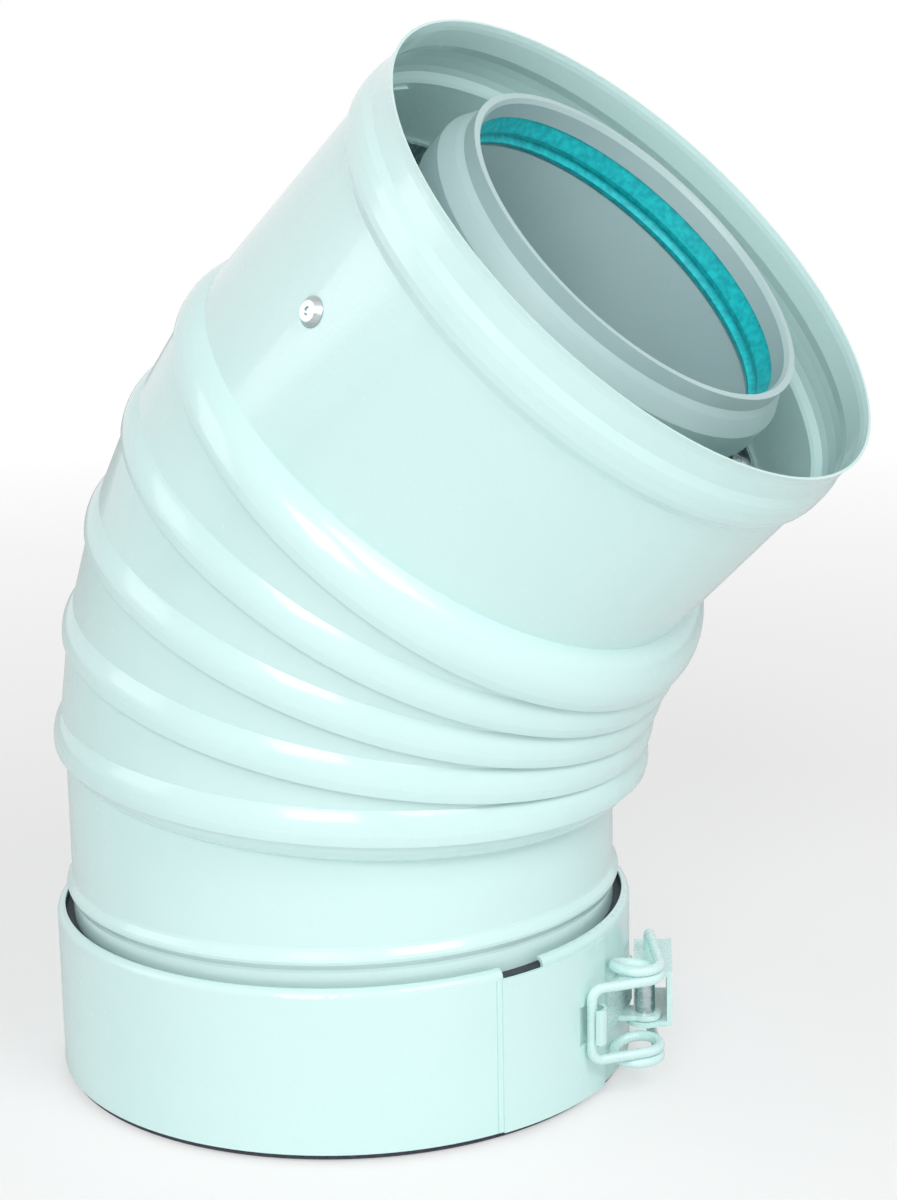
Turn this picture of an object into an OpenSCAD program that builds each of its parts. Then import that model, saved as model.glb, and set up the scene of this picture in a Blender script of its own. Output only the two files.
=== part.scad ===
// Concentric flue elbow: a segmented sheet-steel air pipe around a plastic flue pipe,
// with a quick-release clamp band on its lower end.
// Z runs up the lower leg from the mouth of the clamp. The bend turns towards +X.

/* [Bend] */
// Angle that the elbow turns the flue through
bend_angle = 45; // [30:1:60]
// Radius of the centre line of the bend
bend_r = 113; // [100:1:140]
// Number of mitre joints in the air pipe
joint_count = 5; // [3:1:6]
// Height of the bend's centre above the mouth of the clamp
bend_z = 67.2; // [64:0.2:90]

/* [Air pipe] */
// Outer diameter of the air pipe
pipe_d = 125; // [120:0.5:135]
// Thickness of the sheet steel
sheet_t = 0.6; // [0.5:0.1:0.8]
// Height of the air pipe's cut end above the mouth of the clamp
pipe_end_z = 20; // [17:0.5:22]
// Height of the stop bead above the mouth of the clamp
bead_z = 43.8; // [43:0.2:46]
// Height that the stop bead stands out of the pipe
bead_rise = 1.3; // [0.8:0.1:2]
// Half of the stop bead's width
bead_half = 2.8; // [2:0.1:3.2]
// How much wider in radius a gore is than the straight pipe
gore_extra = 3.5; // [3:0.1:4]
// Sideways shift of the gores towards the inside of the bend
gore_shift = 2.9; // [2.4:0.1:3.2]
// Radius of the rounded swage at each mitre joint
swage_r = 9; // [8:0.1:10]
// Height of the swage above the gore
swage_rise = 1.8; // [1.5:0.1:2.2]
// Length of the lip that laps over the piece below
lip_len = 2.2; // [1.6:0.1:2.6]
// Play between the nested sheets of a mitre joint
nest_gap = 0.5; // [0.3:0.05:0.7]
// Length of the upper leg from the end of the bend to its rim
leg_len = 61.2; // [60:0.2:75]
// Depth of the socket at the rim
socket_len = 16.2; // [15:0.2:18]
// Play of a mating pipe in the rim of the socket
socket_play = 0.1; // [0.1:0.05:0.3]
// How far the socket's rounded shoulder stands outside its neck
shoulder_rise = 0.9; // [0.6:0.1:1.1]
// How far the rim is flared
flare = 0.4; // [0.3:0.1:0.8]
// Width of the lap along the longitudinal seam
seam_w = 6; // [4:0.5:8]

/* [Flue pipe] */
// Outer diameter of the flue spigot
flue_d = 80; // [76:0.5:82]
// Wall of the flue pipe
flue_t = 2; // [1.6:0.1:2.4]
// Height of the spigot's end above the mouth of the clamp
spigot_z = 4; // [2:0.5:8]
// Length of the spigot up to its collar
spigot_len = 45; // [40:0.5:47]
// How much wider in radius the moulded bend is than the spigot
body_extra = 0.8; // [0.5:0.1:1.2]
// Step between the moulded bend and its straight ends, on the radius
bend_step = 0.1; // [0.05:0.05:0.2]
// Play of a spigot in the socket, on the radius
flue_play = 0.5; // [0.4:0.05:0.8]
// How far the socket's rim lies below the rim of the air pipe
rim_recess = 0.4; // [0.4:0.1:3]
// Start of the socket above the end of the bend
socket_start = 12; // [10:0.5:14]
// Length of the shoulder below the socket
socket_cone = 4; // [3:0.5:5]
// Length of the lead-in above the seal chamber
lead_in = 5; // [4:0.5:6]
// Length of the seal chamber
chamber_len = 8.5; // [8:0.5:10]
// Depth of the seal chamber on the radius
chamber_depth = 2.7; // [2.4:0.1:3.2]

/* [Lip seal] */
// Gap between the seal and the walls of its chamber
seal_gap = 0.1; // [0.05:0.05:0.2]
// Thickness of the seal's lips
lip_t = 0.9; // [0.7:0.1:1.1]
// Gap between a lip and the spigot that it seals
lip_reach = 0.15; // [0.1:0.05:0.3]

/* [Spacers] */
// Thickness of the spacer steel
spacer_t = 1; // [0.8:0.1:1.2]
// Height of a spacer
spacer_h = 9; // [7:0.5:10]
// Place of the upper spacer above the end of the bend
upper_spacer_t = 23.6; // [20:0.2:30]
// Height of the lower spacer's middle
lower_spacer_z = 59; // [56:0.5:60]
// Direction of the riveted leg in front, from the inside of the bend
front_leg_az = -112.5; // [-120:0.5:-105]
// Direction of the riveted leg behind
back_leg_az = 50; // [40:0.5:60]
// Direction of the sprung leg on the outside of the bend
outer_leg_az = 165; // [150:0.5:165]
// Half of the angle that a foot spans
foot_half = 8; // [6:0.5:10]

/* [Rivets] */
// Diameter of a rivet's shank
rivet_d = 3.2; // [3:0.1:4]
// Diameter of a rivet's head
rivet_head_d = 6.5; // [6:0.1:8]
// Height of a rivet's head
rivet_head_h = 1.1; // [0.9:0.1:1.4]
// Diameter of the mandrel left in a rivet
mandrel_d = 1.8; // [1.6:0.1:2]
// Play between a rivet and its holes
rivet_play = 0.05; // [0.02:0.01:0.1]

/* [Clamp] */
// Height of the clamp band's upper edge
band_top = 38.4; // [37:0.2:39.5]
// Height that the seal shows below the band
band_bottom = 1.3; // [0.8:0.1:2]
// Thickness of the band
band_t = 0.8; // [0.6:0.1:1]
// Radius of the band's turned-in upper edge
band_curl = 1.8; // [1.4:0.1:2]
// Thickness of the clamp's rubber lining
lining_t = 2.8; // [2.4:0.1:3.2]
// Play between the lining and the pipe
lining_gap = 0.1; // [0.05:0.05:0.2]
// Height of the rib between the two pipe ends
rib_h = 1.6; // [1.2:0.1:2]
// How far the rib reaches in past the lining
rib_in = 1; // [0.7:0.1:1.4]
// Angle of the band's outer end from the inside of the bend
band_edge_az = 1; // [-1:0.5:1]
// Angle that the two ends overlap over
band_lap = 19; // [17:0.5:22]
// Angle from the joggle to the band's inner end
band_free = 10; // [6:0.5:12]

/* [Latch] */
// Height of the latch's middle
latch_z = 19; // [17:0.2:20]
// Thickness of the latch's sheet steel
latch_t = 1.2; // [1:0.1:1.4]
// Diameter of the bail's wire
wire_d = 2.3; // [2:0.1:2.4]
// Direction of the lever's flat back, from the inside of the bend
lever_az = 25.7; // [24:0.1:27]
// Distance of the pivot pin from the pipe's axis, square to the lever's back
pin_out = 69.9; // [69.6:0.1:71]
// Distance of the pivot pin along the lever, from the foot of that square
pin_back = 17.5; // [17:0.1:18.5]
// Diameter of the pivot pin
pin_d = 4.4; // [4:0.1:4.6]
// Running play of a pin in the lever, on the radius
pin_play = 0.06; // [0.03:0.01:0.09]
// Length of the lever ahead of its pivot
lever_len = 21.5; // [19:0.5:24]
// Length of the lever behind its pivot
lever_tail = 3; // [2.5:0.1:3.2]
// Outer height of the lever's channel
lever_h = 13.2; // [12.6:0.1:13.4]
// Distance from the pivot to the inside of the lever's back
lever_depth = 4.9; // [4.7:0.1:5.4]
// Distance from the lever's pivot to the bail's pivot
bail_arm = 11.5; // [11:0.1:12.5]
// Direction of the bail's pivot, turned from the lever's length
bail_lean = 4; // [2:0.5:6]
// Radius of the far corners of the lever
lever_corner = 4; // [3:0.5:5]
// Side gap between the lever's cheeks and the bracket
cheek_gap = 0.2; // [0.15:0.05:0.3]
// Half width of the bracket's neck
neck_half = 3.2; // [2.8:0.1:3.4]
// Angle that the bracket's foot starts at
foot_from = 2; // [1.6:0.1:3]
// Angle that the bracket's foot ends at
foot_to = 20; // [18:0.5:24]
// Angle of the bail's bar in its hook
hook_az = -6.15; // [-7:0.05:-5.5]
// Gap between the bail's bar and the band
bar_gap = 0.35; // [0.3:0.05:0.5]
// Width of the hook
hook_w = 8; // [7:0.5:9]
// Inner radius of the hook
hook_r = 2.2; // [2.1:0.05:2.3]
// Length of the slot along the band
slot_l = 5.2; // [4.6:0.1:5.6]
// Length of the slot's taller end
slot_arm = 1.7; // [1.4:0.1:2]
// How far the hook's middle lies past the bar
hook_past = 0.65; // [0.5:0.05:0.8]
// Half of the bail's height, to the middle of its wire
bail_half = 8.4; // [8.2:0.1:8.8]
// Radius of the bail's spring coils, to the middle of the wire
coil_r = 5.1; // [4.8:0.1:5.3]
// Gap between the coils and the band
coil_gap = 0.4; // [0.35:0.05:0.6]
// Rise of the coil in one turn
coil_pitch = 2.4; // [2.35:0.05:2.6]

/* [Hidden] */

$fn = 96;
paint = [0.87, 0.96, 0.95];
grey_plastic = [0.6, 0.68, 0.69];
turquoise = [0.12, 0.66, 0.72];
black_rubber = [0.16, 0.17, 0.24];
bare_steel = [0.66, 0.69, 0.72];

pipe_r = pipe_d / 2;
bore_r = pipe_r - sheet_t;
step_angle = bend_angle / joint_count;
vertex_r = bend_r / cos(step_angle / 2);
gore_r = pipe_r + gore_extra;
// The swage ring is a torus, centred a little further in than the gores
ring_r = gore_r + swage_rise - swage_r;
ring_shift = gore_shift + 0.5;
far = pipe_d * 3;
eps = 0.01;

leg_x = bend_r * (1 - cos(bend_angle));
leg_z = bend_z + bend_r * sin(bend_angle);

// ---- Places along the bend ----

module at_leg() {
    translate([leg_x, 0, leg_z])
        rotate([0, bend_angle, 0])
            children();
}

// Frame of mitre joint k, counted from 1 at the bottom
module at_joint(k) {
    a = (k - 0.5) * step_angle;
    translate([bend_r - vertex_r * cos(a), 0, bend_z + vertex_r * sin(a)])
        rotate([0, a, 0])
            children();
}

// Frame of gore k, with its axis through joints k and k + 1
module at_gore(k) {
    a = (k - 0.5) * step_angle;
    translate([bend_r - vertex_r * cos(a), 0, bend_z + vertex_r * sin(a)])
        rotate([0, k * step_angle, 0])
            translate([gore_shift, 0, 0])
                children();
}

module above_joint(k, from) {
    at_joint(k)
        translate([-far, -far, from])
            cube([2 * far, 2 * far, 2 * far]);
}

module below_joint(k, to) {
    at_joint(k)
        translate([-far, -far, to - 2 * far])
            cube([2 * far, 2 * far, 2 * far]);
}

module swage_torus(k, r) {
    at_joint(k)
        translate([ring_shift, 0, 0])
            rotate_extrude()
                translate([ring_r, 0])
                    circle(r);
}

// ---- Air pipe ----

// Points of a rounded bump of the given rise, as a half wave
function bump(r, z, half, rise, n = 8) =
    [for (i = [0 : n]) [r + rise * (1 - cos(360 * i / n)) / 2, z + half * (2 * i / n - 1)]];

module lower_wall() {
    rotate_extrude()
        polygon(concat(
            [[bore_r, pipe_end_z], [pipe_r, pipe_end_z]],
            bump(pipe_r, bead_z, bead_half, bead_rise),
            [[pipe_r, bend_z + pipe_r], [bore_r, bend_z + pipe_r]],
            [for (p = [8 : -1 : 0]) bump(bore_r, bead_z, bead_half - sheet_t / 4, bead_rise)[p]]));
}

// Straight lower leg: plain end, stop bead and a swaged end nested in the first gore
module lower_pipe() {
    nest_r = swage_r - sheet_t - nest_gap;
    color(paint)
        difference() {
            intersection() {
                union() {
                    lower_wall();
                    difference() {
                        swage_torus(1, nest_r);
                        cylinder(r = bore_r, h = far);
                    }
                }
                below_joint(1, -nest_gap);
            }
            swage_torus(1, nest_r - sheet_t);
        }
}

// One gore, with a rounded swage and a lip at its lower end
module gore(k) {
    color(paint)
        difference() {
            intersection() {
                difference() {
                    union() {
                        at_gore(k)
                            translate([0, 0, -pipe_r])
                                cylinder(r = gore_r, h = 3 * pipe_r);
                        swage_torus(k, swage_r);
                    }
                    at_gore(k)
                        translate([0, 0, -far])
                            cylinder(r = gore_r - sheet_t, h = 2 * far);
                }
                above_joint(k, -lip_len);
                below_joint(k + 1, -nest_gap);
            }
            swage_torus(k, swage_r - sheet_t);
        }
}

// Radii and heights of the socket's wall, measured on its outside
neck_r = pipe_r + socket_play + sheet_t;
shoulder_r = neck_r + shoulder_rise;
rim_r = neck_r + flare;
socket_foot = leg_len - socket_len;
neck_from = 9.6;
flare_len = 2.2;
function socket_wall(inset) = [
    [pipe_r - inset, socket_foot - 0.8],
    [pipe_r + 0.25 * (shoulder_r - pipe_r) - inset, socket_foot],
    [shoulder_r - 0.3 - inset, socket_foot + 1.4],
    [shoulder_r - inset, socket_foot + 3],
    [shoulder_r - inset, socket_foot + 5.5],
    [shoulder_r - 0.2 - inset, socket_foot + 7.5],
    [neck_r - inset, socket_foot + neck_from],
    [neck_r - inset, leg_len - flare_len],
    [neck_r + flare / 3 - inset, leg_len - flare_len / 2],
    [rim_r - inset, leg_len]];

// Straight upper leg with the swage of the last joint and the socket at its rim
module upper_pipe() {
    wall_in = socket_wall(sheet_t);
    last = len(wall_in) - 1;
    color(paint)
        difference() {
            union() {
                intersection() {
                    difference() {
                        union() {
                            at_leg()
                                translate([0, 0, -pipe_r])
                                    cylinder(r = pipe_r, h = pipe_r + socket_foot - 2);
                            swage_torus(joint_count, swage_r);
                        }
                        at_leg()
                            translate([0, 0, -far])
                                cylinder(r = bore_r, h = 2 * far);
                    }
                    above_joint(joint_count, -lip_len);
                }
                at_leg()
                    rotate_extrude()
                        polygon(concat(
                            [[bore_r, socket_foot - 2], [pipe_r, socket_foot - 2]],
                            socket_wall(0),
                            [for (i = [last : -1 : 0]) wall_in[i]]));
                // Lap of the longitudinal seam, on the outside of the bend
                at_leg()
                    rotate([0, 0, 180 - seam_w / 2 / bore_r * 180 / PI])
                        rotate_extrude(angle = seam_w / bore_r * 180 / PI)
                            translate([bore_r - sheet_t, 2])
                                square([sheet_t + eps, socket_foot - 4]);
            }
            swage_torus(joint_count, swage_r - sheet_t);
            for (a = rivet_angles)
                at_leg()
                    at_leg_point(a, upper_spacer_t)
                        cylinder(r = rivet_hole_r, h = 4 * sheet_t, center = true);
        }
}

// ---- Flue pipe ----

flue_r = flue_d / 2;
flue_in = flue_r - flue_t;
body_r = flue_r + body_extra;
bend_out = body_r + bend_step;
bend_in = flue_in + bend_step;
bore_lap = 1;
sleeve_in = flue_r + flue_play;
sleeve_r = sleeve_in + flue_t + 0.2;
flue_rim = leg_len - rim_recess;
chamber_top = flue_rim - lead_in;
chamber_foot = chamber_top - chamber_len;
chamber_in = sleeve_in + chamber_depth;
chamber_r = chamber_in + flue_t + 0.2;

module bend_torus(r) {
    translate([bend_r, 0, bend_z])
        rotate([90, 0, 180])
            rotate_extrude(angle = bend_angle)
                translate([bend_r, 0])
                    circle(r);
}

// Moulded flue elbow: spigot below, bend, and socket with a seal chamber above
module inner_elbow() {
    color(grey_plastic)
        difference() {
            union() {
                translate([0, 0, spigot_z])
                    cylinder(r = flue_r, h = bend_z - spigot_z);
                translate([0, 0, spigot_z + spigot_len])
                    cylinder(r = body_r, h = bend_z - spigot_z - spigot_len);
                bend_torus(bend_out);
                at_leg()
                    rotate_extrude()
                        polygon([
                            [0, 0], [body_r, 0], [body_r, socket_start - socket_cone],
                            [sleeve_r, socket_start], [sleeve_r, chamber_foot - 4],
                            [chamber_r, chamber_foot - 1.5], [chamber_r, chamber_top - 3.5],
                            [sleeve_r + 0.8, chamber_top], [sleeve_r - 0.2, chamber_top + 1.5],
                            [sleeve_r - 0.2, flue_rim], [0, flue_rim]]);
            }
            translate([0, 0, -far])
                cylinder(r = flue_in, h = far + bend_z + bore_lap);
            bend_torus(bend_in);
            at_leg()
                rotate_extrude()
                    polygon([
                        [0, -bore_lap], [flue_in, -bore_lap], [flue_in, socket_start - socket_cone],
                        [sleeve_in, socket_start], [sleeve_in, chamber_foot],
                        [chamber_in, chamber_foot], [chamber_in, chamber_top],
                        [sleeve_in, chamber_top], [sleeve_in, flue_rim - 1],
                        [sleeve_in + 0.6, flue_rim + eps], [0, flue_rim + eps]]);
        }
}

// Rubber ring with two lips that lean into the socket
module lip_seal() {
    back = chamber_in - seal_gap;
    tip = flue_r + lip_reach;
    foot = chamber_foot + seal_gap;
    top = chamber_top - seal_gap;
    mid = (foot + top) / 2;
    color(turquoise)
        at_leg()
            rotate_extrude()
                polygon([
                    [back, foot], [back, top], [sleeve_in + 0.3, top], [tip, mid + 0.2],
                    [tip + lip_t / 2, mid - lip_t], [sleeve_in + 1.1, mid + 0.3],
                    [sleeve_in + 1.1, mid - 1.2], [tip, foot + 1.4],
                    [tip + lip_t / 2, foot + 1.4 - lip_t], [sleeve_in + 0.9, foot]]);
}

// ---- Spacers and their rivets ----

rivet_angles = [front_leg_az, back_leg_az];
leg_angles = [front_leg_az, back_leg_az, outer_leg_az];
rivet_hole_r = rivet_d / 2 + rivet_play;
foot_in = bore_r - spacer_t - 0.05;

// Frame on the pipe's outer face, with Z outwards
module at_leg_point(angle, t) {
    rotate([0, 0, angle])
        translate([pipe_r, 0, t])
            rotate([0, 90, 0])
                children();
}

module annulus(r, thickness) {
    difference() {
        circle(r + thickness);
        circle(r);
    }
}

// Clip ring with three legs that hold it in the middle of the air pipe
module spacer(hold_r) {
    ring_in = hold_r + 0.1;
    foot_w = 2 * foot_in * sin(foot_half);
    tie_from = sqrt(ring_in * ring_in - foot_w * foot_w / 4);
    linear_extrude(spacer_h, center = true) {
        annulus(ring_in, spacer_t);
        for (a = leg_angles)
            rotate(a) {
                intersection() {
                    annulus(foot_in, spacer_t);
                    translate([0, -foot_w / 2])
                        square([2 * foot_in, foot_w]);
                }
                translate([tie_from + spacer_t / 2, foot_w / 2 - spacer_t])
                    square([foot_in - tie_from - spacer_t / 2, spacer_t]);
            }
    }
}

module upper_spacer() {
    color(bare_steel)
        at_leg()
            difference() {
                translate([0, 0, upper_spacer_t])
                    spacer(sleeve_r);
                for (a = rivet_angles)
                    at_leg_point(a, upper_spacer_t)
                        cylinder(r = rivet_hole_r, h = 8 * spacer_t, center = true);
            }
}

module lower_spacer() {
    color(bare_steel)
        translate([0, 0, lower_spacer_z])
            spacer(body_r);
}

// Blind rivets: domed head outside, set bulb inside, bored for the mandrel
module spacer_rivets() {
    grip = sheet_t + spacer_t + 0.1;
    bulb_h = rivet_d * 0.8;
    color(bare_steel)
        for (a = rivet_angles)
            at_leg()
                at_leg_point(a, upper_spacer_t)
                    difference() {
                        union() {
                            translate([0, 0, 0.15])
                                cylinder(r1 = rivet_head_d / 2, r2 = rivet_head_d / 3, h = rivet_head_h);
                            translate([0, 0, -grip - bulb_h])
                                cylinder(r = rivet_d / 2, h = grip + bulb_h + rivet_head_h / 2);
                            translate([0, 0, -grip - bulb_h])
                                cylinder(r = rivet_d * 0.75, h = bulb_h);
                        }
                        translate([0, 0, -grip - 2 * bulb_h])
                            cylinder(r = mandrel_d / 2, h = grip + 4 * bulb_h);
                    }
}

// Broken-off mandrels, left in the rivets
module rivet_mandrels() {
    tail = sheet_t + spacer_t + rivet_d;
    color(bare_steel)
        for (a = rivet_angles)
            at_leg()
                at_leg_point(a, upper_spacer_t)
                    translate([0, 0, -tail])
                        cylinder(r = mandrel_d / 2 - 0.02, h = tail + rivet_head_h * 0.8);
}

// ---- Clamp ----

lining_in = pipe_r + lining_gap;
lining_r = lining_in + lining_t;
band_in = lining_r + 0.1;
band_r = band_in + band_t;
lap_r = band_r + band_t;
lap_from = band_edge_az - band_lap - band_free;

// Inner layer of the band, with its upper edge turned in
module inner_layer() {
    rotate([0, 0, lap_from + band_free])
        rotate_extrude(angle = 360 - band_free + 0.5) {
            translate([band_in, band_bottom])
                square([band_t, band_top - band_curl - band_bottom]);
            translate([band_r - band_curl, band_top - band_curl])
                intersection() {
                    annulus(band_curl - band_t, band_t);
                    square(band_curl);
                }
        }
}

// Plain stretch of band between two angles, from one radius out to another
module plain_layer(from, to, r_in, r_out, inset) {
    rotate([0, 0, from])
        rotate_extrude(angle = to - from)
            translate([r_in, band_bottom + inset])
                square([r_out - r_in, band_top - band_curl - band_bottom - 2 * inset]);
}

// Frame on the band at the bail's bar: X along the band, Y outwards
bar_r = lap_r + bar_gap + wire_d / 2;
module at_bar() {
    rotate([0, 0, hook_az])
        translate([bar_r, 0, latch_z])
            rotate([0, 0, 90])
                mirror([0, 1, 0])
                    children();
}

// Hook punched out of the band's outer end and curled over the bar
module hook() {
    foot_y = -bar_gap - wire_d / 2 - band_t / 2;
    at_bar()
        linear_extrude(hook_w, center = true)
            intersection() {
                translate([hook_past, 0])
                    annulus(hook_r, band_t);
                union() {
                    translate([hook_past, foot_y])
                        square(2 * hook_r + 2 * band_t);
                    translate([hook_past - hook_r * 0.7, 0])
                        square(2 * hook_r + 2 * band_t);
                }
            }
}

// T-shaped slot that the hook was punched from, down to the inner layer
module hook_slot() {
    difference() {
        at_bar() {
            translate([-slot_l / 2, -bar_gap - wire_d, -hook_w / 2 - 0.5])
                cube([slot_l, wire_d, hook_w + 1]);
            translate([slot_l / 2 - slot_arm, -bar_gap - wire_d, -hook_w / 2 - 3])
                cube([slot_arm + 0.2, wire_d, hook_w + 6]);
        }
        cylinder(r = band_r, h = far);
    }
}

module clamp_band() {
    color(paint) {
        difference() {
            union() {
                inner_layer();
                plain_layer(lap_from, band_edge_az, band_r - 0.05, lap_r, 0.1);
                // Joggle that lifts the outer end over the inner one
                plain_layer(lap_from - 1, lap_from + 1, band_in + band_t / 2, band_r + band_t / 2, 0.2);
            }
            hook_slot();
        }
        hook();
    }
}

// Rubber lining with a rib between the two pipe ends
module clamp_lining() {
    top = band_top - band_curl - 0.3;
    rib_top = pipe_end_z - 0.1;
    color(black_rubber)
        rotate_extrude()
            polygon([
                [lining_in, 0], [lining_r, 0], [lining_r, top], [lining_in, top],
                [lining_in, rib_top], [lining_in - rib_in, rib_top],
                [lining_in - rib_in, rib_top - rib_h], [lining_in, rib_top - rib_h]]);
}

// ---- Latch ----

// Flat frame of the lever: X outwards, square to its back, and Y along it
module at_lever() {
    translate([0, 0, latch_z])
        rotate([0, 0, lever_az])
            children();
}
pin_x = pin_out;
pin_y = -pin_back;
bail_x = pin_x + bail_arm * sin(bail_lean);
bail_y = pin_y + bail_arm * cos(bail_lean);
pin_r = pin_d / 2;
wire_r = wire_d / 2;
back_x = pin_x + lever_depth;
ear_h = lever_h - 2 * latch_t - 2 * cheek_gap;

// Bracket welded to the band's inner end, with two ears for the pivot pin
module latch_bracket() {
    color(paint)
        difference() {
            union() {
                rotate([0, 0, foot_from])
                    rotate_extrude(angle = foot_to - foot_from)
                        translate([band_r, latch_z - ear_h / 2])
                            square([latch_t * 0.8, ear_h]);
                at_lever()
                    for (side = [-1, 1])
                        translate([0, 0, side * (ear_h - latch_t) / 2])
                            linear_extrude(latch_t, center = true) {
                                translate([pin_x, pin_y])
                                    circle(lever_depth - 1.1);
                                translate([band_r - 6, pin_y - neck_half])
                                    square([pin_x - band_r + 6, 2 * neck_half]);
                            }
            }
            translate([0, 0, -far])
                cylinder(r = band_r, h = 2 * far);
            at_lever()
                translate([pin_x, pin_y, 0])
                    cylinder(r = pin_r, h = 2 * lever_h, center = true);
        }
}

// Steel pin with thin upset heads
module pivot_pin() {
    head_t = 0.2;
    color(bare_steel)
        at_lever()
            translate([pin_x, pin_y, 0]) {
                cylinder(r = pin_r, h = lever_h + 0.1, center = true);
                for (side = [-1, 1])
                    translate([0, 0, side * (lever_h / 2 + 0.05 + head_t / 2)])
                        cylinder(r = pin_r + 0.6, h = head_t, center = true);
            }
}

// Channel-shaped lever that lies over the band when it is closed
module latch_lever() {
    tip_y = pin_y + lever_len;
    tail_y = pin_y - lever_tail;
    cheek_x = pin_x - 2.6;
    color(paint)
        at_lever()
            difference() {
                union() {
                    // Back, with round far corners
                    translate([back_x, 0, 0])
                        rotate([0, 90, 0])
                            linear_extrude(latch_t) {
                                translate([-lever_h / 2, tail_y])
                                    square([lever_h, tip_y - lever_corner - tail_y]);
                                translate([-lever_h / 2 + lever_corner, tail_y])
                                    square([lever_h - 2 * lever_corner, tip_y - tail_y]);
                                for (side = [-1, 1])
                                    translate([side * (lever_h / 2 - lever_corner), tip_y - lever_corner])
                                        circle(lever_corner);
                            }
                    for (side = [-1, 1])
                        translate([0, 0, side * (lever_h - latch_t) / 2])
                            linear_extrude(latch_t, center = true) {
                                translate([pin_x, pin_y])
                                    circle(lever_depth - 0.7);
                                translate([cheek_x, pin_y])
                                    square([back_x - cheek_x + eps, tip_y - lever_corner - pin_y]);
                                translate([pin_x, tail_y])
                                    square([back_x - pin_x + eps, lever_tail + eps]);
                            }
                }
                translate([pin_x, pin_y, 0])
                    cylinder(r = pin_r + pin_play, h = 2 * lever_h, center = true);
                translate([bail_x, bail_y, 0])
                    cylinder(r = wire_r + pin_play, h = 2 * lever_h, center = true);
            }
}

// Places of the bail's wire, in the lever's flat frame
bar_x = bar_r * cos(hook_az - lever_az);
bar_y = bar_r * sin(hook_az - lever_az);
coil_out = band_r + coil_gap + coil_r + wire_r;
coil_x = pin_x - 1.85;
coil_y = -sqrt(coil_out * coil_out - coil_x * coil_x);
arm_span = norm([coil_x - bar_x, coil_y - bar_y]);
arm_len = sqrt(arm_span * arm_span - coil_r * coil_r);
arm_dir = atan2(coil_y - bar_y, coil_x - bar_x) - asin(coil_r / arm_span);
tail_span = norm([bail_x - coil_x, bail_y - coil_y]);
tail_len = sqrt(tail_span * tail_span - coil_r * coil_r);
tail_dir = atan2(bail_y - coil_y, bail_x - coil_x) + asin(coil_r / tail_span);
bar_bend = 2.5;
bar_lap = 0.5;
end_bend = 2;
climb_from = 120;
climb_swell = 0.03;

module wire_arc(r, from, to, w = wire_r) {
    rotate([0, 0, from])
        rotate_extrude(angle = to - from)
            translate([r, 0])
                circle(w);
}

// Half ring of the coil that climbs by one pitch. It is a touch thicker than the wire
// and a degree longer at each end, so that it takes in the ends of its neighbours.
module climbing_half() {
    tilt = atan(coil_pitch / 2 / coil_r);
    rotate([0, 0, climb_from])
        translate([0, 0, coil_pitch / 2])
            rotate([0, tilt, 0])
                wire_arc(coil_r / cos(tilt), -1, 181, wire_r + climb_swell);
}

// Half of the bar, an arm and the start of the coil, from the coil's middle
module bail_front() {
    wire_arc(coil_r, 0, climb_from);
    climbing_half();
    translate([coil_r, 0, 0])
        rotate([90, 0, 0])
            cylinder(r = wire_r, h = arm_len - bar_bend);
    translate([coil_r, bar_bend - arm_len, -bar_bend])
        rotate([0, -90, 0])
            wire_arc(bar_bend, -90, 0);
    translate([coil_r, -arm_len, -bail_half - bar_lap])
        cylinder(r = wire_r, h = bail_half - bar_bend + bar_lap);
}

// End of the coil, tail and the end that pivots in the lever, from the coil's middle
module bail_rear() {
    end_h = bail_half + coil_pitch - end_bend - lever_h / 2 + latch_t + 0.6;
    mirror([0, 1, 0])
        wire_arc(coil_r, 0, 180 - climb_from + tail_dir - arm_dir);
    translate([coil_r, 0, 0])
        rotate([-90, 0, 0])
            cylinder(r = wire_r, h = tail_len - end_bend);
    translate([coil_r, tail_len - end_bend, -end_bend])
        rotate([0, -90, 0])
            wire_arc(end_bend, 0, 90);
    translate([coil_r, tail_len, -end_bend - end_h])
        cylinder(r = wire_r, h = end_h);
}

// Sprung wire bail: bar, two arms, two coils and two ends
module wire_bail() {
    color(paint)
        at_lever()
            for (side = [0, 1])
                mirror([0, 0, side]) {
                    translate([coil_x, coil_y, bail_half])
                        rotate([0, 0, arm_dir - 90])
                            bail_front();
                    translate([coil_x, coil_y, bail_half + coil_pitch])
                        rotate([0, 0, tail_dir - 90])
                            bail_rear();
                }
}

lower_pipe();
gore(1);  // gore_1
gore(2);  // gore_2
gore(3);  // gore_3
gore(4);  // gore_4
upper_pipe();
inner_elbow();
lip_seal();
upper_spacer();
lower_spacer();
spacer_rivets();
rivet_mandrels();
clamp_band();
clamp_lining();
latch_bracket();
pivot_pin();
latch_lever();
wire_bail();
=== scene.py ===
import math

import bpy
from mathutils import Matrix, Vector


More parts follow.
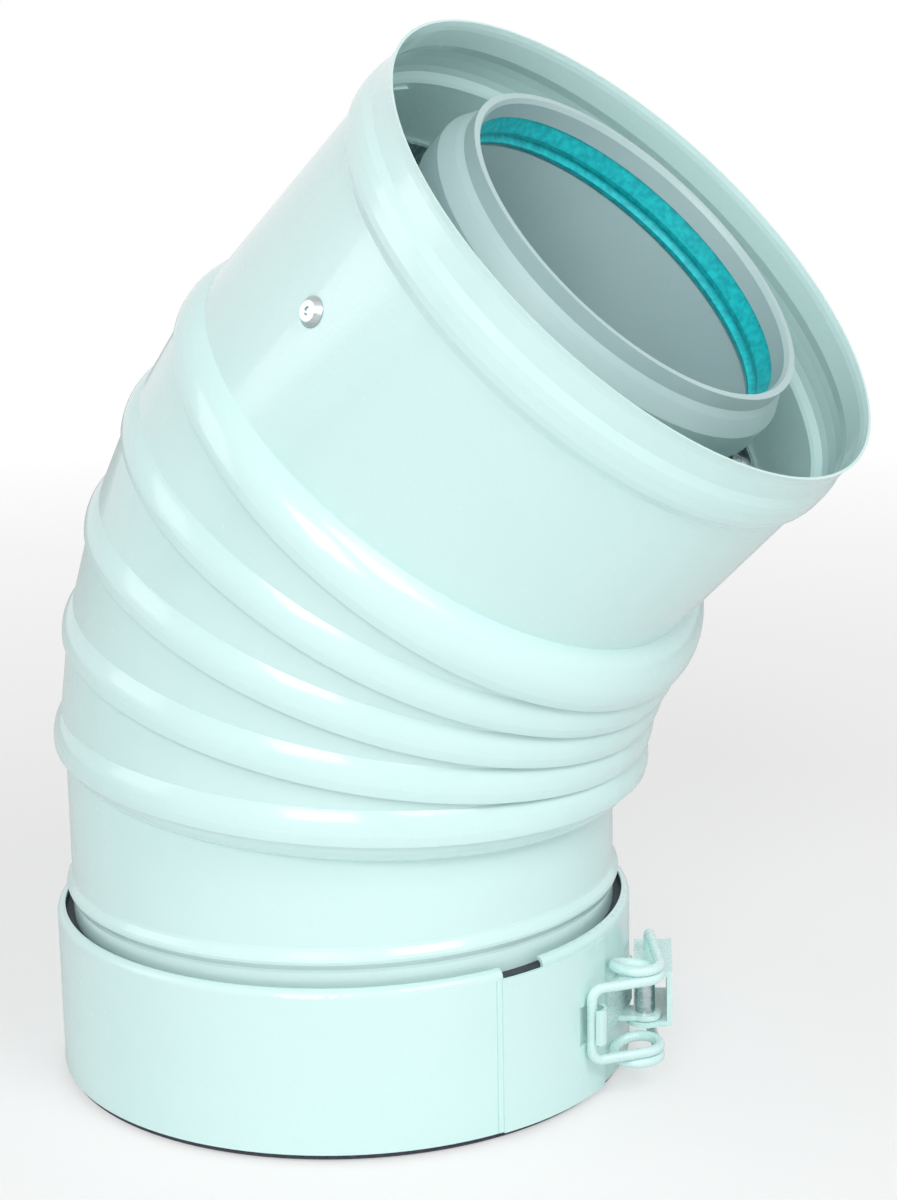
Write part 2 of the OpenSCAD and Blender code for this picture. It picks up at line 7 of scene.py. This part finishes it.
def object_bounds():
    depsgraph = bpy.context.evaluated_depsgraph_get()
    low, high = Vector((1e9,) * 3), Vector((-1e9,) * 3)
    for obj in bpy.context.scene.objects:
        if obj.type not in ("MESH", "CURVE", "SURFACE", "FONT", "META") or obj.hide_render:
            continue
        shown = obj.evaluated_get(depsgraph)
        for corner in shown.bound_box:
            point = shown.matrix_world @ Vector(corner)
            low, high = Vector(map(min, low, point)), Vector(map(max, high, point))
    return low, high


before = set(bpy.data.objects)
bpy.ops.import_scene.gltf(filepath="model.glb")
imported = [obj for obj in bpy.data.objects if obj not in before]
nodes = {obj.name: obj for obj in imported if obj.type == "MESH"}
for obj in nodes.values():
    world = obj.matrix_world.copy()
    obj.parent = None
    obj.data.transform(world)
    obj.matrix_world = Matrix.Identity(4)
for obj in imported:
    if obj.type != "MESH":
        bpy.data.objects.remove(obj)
cad_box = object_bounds()


# Air pipe and elbow gores: thin sheet steel, rolled, beaded and nested, then
# powder coated gloss white with a cool cast. The coat is slightly cloudy and
# has a faint orange peel.
class Value:
    """A node socket that can be used in Python sums."""

    def __init__(self, finish, socket):
        self.finish = finish
        self.socket = socket

    def sum(self, operation, first, second):
        return self.finish.node("ShaderNodeMath", {"operation": operation}, {0: first, 1: second})

    def __add__(self, other):
        return self.sum("ADD", self, other)

    def __radd__(self, other):
        return self.sum("ADD", other, self)

    def __sub__(self, other):
        return self.sum("SUBTRACT", self, other)

    def __rsub__(self, other):
        return self.sum("SUBTRACT", other, self)

    def __mul__(self, other):
        return self.sum("MULTIPLY", self, other)

    def __rmul__(self, other):
        return self.sum("MULTIPLY", other, self)


class Finish:
    """A procedural material with one way of adding a node to it."""

    def __init__(self, name):
        self.material = bpy.data.materials.new(name)
        self.material.use_nodes = True
        self.tree = self.material.node_tree
        self.shader = self.tree.nodes["Principled BSDF"]
        self.place = self.node("ShaderNodeTexCoord", out="Object")

    def put(self, socket, value):
        if isinstance(value, Value):
            self.tree.links.new(value.socket, socket)
        else:
            socket.default_value = value

    def node(self, kind, settings=None, sockets=None, out=0):
        made = self.tree.nodes.new(kind)
        for key, value in (settings or {}).items():
            setattr(made, key, value)
        for key, value in (sockets or {}).items():
            self.put(made.inputs[key], value)
        return Value(self, made.outputs[out])

    def noise(self, scale, detail=3.0, stretch=(1.0, 1.0, 1.0)):
        place = self.node("ShaderNodeMapping", sockets={"Vector": self.place, "Scale": stretch})
        return self.node("ShaderNodeTexNoise", sockets={"Vector": place, "Scale": scale, "Detail": detail})

    def blend(self, factor, first, second):
        mix = self.tree.nodes.new("ShaderNodeMix")
        mix.data_type = "RGBA"
        self.put(mix.inputs[0], factor)
        self.put(mix.inputs[6], (*first, 1.0))
        self.put(mix.inputs[7], (*second, 1.0))
        return Value(self, mix.outputs[2])

    def bump(self, height, depth, strength=1.0):
        normal = self.node(
            "ShaderNodeBump",
            sockets={"Height": height, "Distance": depth, "Strength": strength},
            out="Normal",
        )
        self.put(self.shader.inputs["Normal"], normal)

    def set(self, **sockets):
        for key, value in sockets.items():
            self.put(self.shader.inputs[key.replace("_", " ")], value)


def steps(value, low, high):
    """How far a value has come from low to high, as 0 to 1."""
    return value.finish.node(
        "ShaderNodeMapRange", sockets={"Value": value, "From Min": low, "From Max": high}
    )


def dress(name, finish):
    slots = nodes[name].data.materials
    slots.clear()
    slots.append(finish.material)


white_coat = Finish("gloss_white_powder_coat")
coat_cloud = white_coat.noise(9.0)
coat_peel = white_coat.noise(900.0, 2.0)
white_coat.set(
    Base_Color=white_coat.blend(steps(coat_cloud, 0.35, 0.65), (0.63, 0.87, 0.85), (0.68, 0.91, 0.89)),
    Roughness=0.2 + 0.1 * coat_peel,
    Coat_Weight=0.5,
    Coat_Roughness=0.08,
)
white_coat.bump(coat_peel, 0.00004)

for sheet in ("lower_pipe", "gore_1", "gore_2", "gore_3", "gore_4", "upper_pipe"):
    dress(sheet, white_coat)


# Clamp and latch: a split steel band, its bracket, lever and sprung wire bail,
# coated white with the pipes. The coat on the small parts shows fine pits.
latch_coat = Finish("gloss_white_coat_on_fittings")
latch_cloud = latch_coat.noise(60.0)
latch_peel = latch_coat.noise(1600.0, 2.0)
latch_coat.set(
    Base_Color=latch_coat.blend(steps(latch_cloud, 0.35, 0.65), (0.63, 0.86, 0.84), (0.7, 0.92, 0.9)),
    Roughness=0.22 + 0.12 * latch_peel,
    Coat_Weight=0.4,
    Coat_Roughness=0.1,
)
latch_coat.bump(latch_peel, 0.00003)
dress("clamp_band", white_coat)
for fitting in ("latch_bracket", "latch_lever", "wire_bail"):
    dress(fitting, latch_coat)


# Inner flue elbow: moulded in one piece in pale grey polypropylene. Its satin
# skin is slightly cloudy and has a very fine grain.
grey_plastic = Finish("satin_grey_polypropylene")
plastic_cloud = grey_plastic.noise(14.0)
plastic_skin = grey_plastic.noise(700.0, 2.0)
grey_plastic.set(
    Base_Color=grey_plastic.blend(steps(plastic_cloud, 0.35, 0.65), (0.44, 0.6, 0.61), (0.52, 0.68, 0.69)),
    Roughness=0.36 + 0.14 * plastic_skin,
)
grey_plastic.bump(plastic_skin, 0.00003)
dress("inner_elbow", grey_plastic)


# Lip seal: a turquoise silicone ring pressed into the chamber of the flue
# socket, with a finely mottled satin skin.
seal_rubber = Finish("turquoise_silicone")
seal_mottle = seal_rubber.noise(650.0, 4.0)
seal_rubber.set(
    Base_Color=seal_rubber.blend(steps(seal_mottle, 0.35, 0.65), (0.003, 0.46, 0.53), (0.008, 0.68, 0.72)),
    Roughness=0.4 + 0.2 * seal_mottle,
)
seal_rubber.bump(seal_mottle, 0.00006)
dress("lip_seal", seal_rubber)


# Clamp lining: an extruded rubber band glued into the clamp, matt blue black
# with a fine grain. Its lower edge shows under the clamp.
lining_rubber = Finish("matt_black_epdm")
lining_grain = lining_rubber.noise(900.0, 4.0)
lining_rubber.set(
    Base_Color=lining_rubber.blend(steps(lining_grain, 0.3, 0.7), (0.02, 0.024, 0.035), (0.05, 0.055, 0.075)),
    Roughness=0.5 + 0.2 * lining_grain,
)
lining_rubber.bump(lining_grain, 0.00005)
dress("clamp_lining", lining_rubber)


# Bare fittings: the rivets, the latch's pin and the spring spacers are plated
# steel, left bright. Fine drawing marks run along them under a cloudy plating.
bare_steel = Finish("bright_plated_steel")
steel_marks = bare_steel.noise(500.0, 3.0, (0.2, 1.0, 1.0))
bare_steel.set(
    Base_Color=bare_steel.blend(steps(steel_marks, 0.3, 0.7), (0.45, 0.5, 0.51), (0.62, 0.68, 0.69)),
    Roughness=0.2 + 0.14 * steel_marks,
    Metallic=1.0,
)
bare_steel.bump(steel_marks, 0.00003)
for fitting in ("spacer_rivets", "rivet_mandrels", "pivot_pin", "upper_spacer", "lower_spacer"):
    dress(fitting, bare_steel)


# Floor: one pale sheet under the object, which takes its shadow and fades
# to plain white further out. The camera sees part of that white everywhere.
floor_half = 3.0
floor_drop = 0.0005
fade_from, fade_to = 0.25, 0.8
seen_white = 0.5
bpy.ops.object.select_all(action="DESELECT")
bpy.ops.mesh.primitive_plane_add(size=2 * floor_half, location=(0, 0, cad_box[0][2] - floor_drop))
floor = bpy.context.object
floor.name = "floor"
bpy.ops.object.transform_apply(location=True, rotation=True, scale=True)
floor_finish = Finish("pale_floor")
floor_cloud = floor_finish.noise(3.0)
floor_finish.set(
    Base_Color=floor_finish.blend(steps(floor_cloud, 0.3, 0.7), (0.93, 0.93, 0.93), (0.95, 0.95, 0.95)),
    Roughness=0.9,
)
floor_reach = floor_finish.node(
    "ShaderNodeVectorMath", {"operation": "LENGTH"}, {0: floor_finish.place}, out="Value"
)
floor_seen = floor_finish.node("ShaderNodeLightPath", out="Is Camera Ray")
floor_glow = floor_finish.node("ShaderNodeEmission", sockets={"Color": (1.0, 1.0, 1.0, 1.0)})
floor_fade = seen_white + (1 - seen_white) * steps(floor_reach, fade_from, fade_to)
floor_mix = floor_finish.node(
    "ShaderNodeMixShader",
    sockets={
        0: floor_seen * floor_fade,
        1: Value(floor_finish, floor_finish.shader.outputs["BSDF"]),
        2: floor_glow,
    },
)
floor_output = floor_finish.tree.nodes["Material Output"]
floor_finish.put(floor_output.inputs["Surface"], floor_mix)
floor.data.materials.append(floor_finish.material)


# World: an even pale sky, which the camera, bright metal and clear parts see
# as plain white.
sky_strength = 0.4
world = bpy.data.worlds.new("studio")
bpy.context.scene.world = world
world.use_nodes = True
sky = world.node_tree
sky_path = sky.nodes.new("ShaderNodeLightPath")
seen_rays = sky_path.outputs["Is Camera Ray"]
for ray in ("Is Glossy Ray", "Is Transmission Ray"):
    either = sky.nodes.new("ShaderNodeMath")
    either.operation = "MAXIMUM"
    sky.links.new(seen_rays, either.inputs[0])
    sky.links.new(sky_path.outputs[ray], either.inputs[1])
    seen_rays = either.outputs[0]
sky_level = sky.nodes.new("ShaderNodeMapRange")
sky_level.inputs["To Min"].default_value = sky_strength
sky.links.new(seen_rays, sky_level.inputs["Value"])
sky.nodes["Background"].inputs["Color"].default_value = (1.0, 1.0, 1.0, 1.0)
sky.links.new(sky_level.outputs[0], sky.nodes["Background"].inputs["Strength"])


# Lights: three soft boxes, the main one ahead, a weak one on the left and one
# that shines down into the open bell.
part_middle = (0.03, 0.0, 0.1)


def soft_box(name, place, size, watts):
    lamp = bpy.data.lights.new(name, "AREA")
    lamp.shape = "RECTANGLE"
    lamp.size, lamp.size_y = size
    lamp.energy = watts
    box = bpy.data.objects.new(name, lamp)
    box.location = place
    aim = Vector(part_middle) - Vector(place)
    box.rotation_euler = aim.to_track_quat("-Z", "Y").to_euler()
    bpy.context.scene.collection.objects.link(box)


soft_box("front_box", (0.45, -1.1, 0.75), (0.6, 0.6), 6.2)
soft_box("left_box", (-1.0, -0.7, 0.7), (0.6, 0.8), 2.2)
soft_box("mouth_box", (0.95, -0.35, 1.0), (0.6, 0.6), 5.6)


# Camera: a portrait view from the front right, a little above the part.
view_place = (0.3140, -0.4936, 0.2461)
view_turn, view_rise, view_roll = 0.523, 0.235, -0.018
lens = bpy.data.cameras.new("camera")
lens.lens = 79.34
lens.sensor_width = 36.0
camera = bpy.data.objects.new("camera", lens)
turned = Matrix.Rotation(view_turn, 4, "Z") @ Matrix.Rotation(math.pi / 2 - view_rise, 4, "X")
turned = turned @ Matrix.Rotation(view_roll, 4, "Z")
camera.matrix_world = Matrix.Translation(view_place) @ turned
bpy.context.scene.collection.objects.link(camera)
bpy.context.scene.camera = camera
bpy.context.scene.view_settings.view_transform = "Standard"
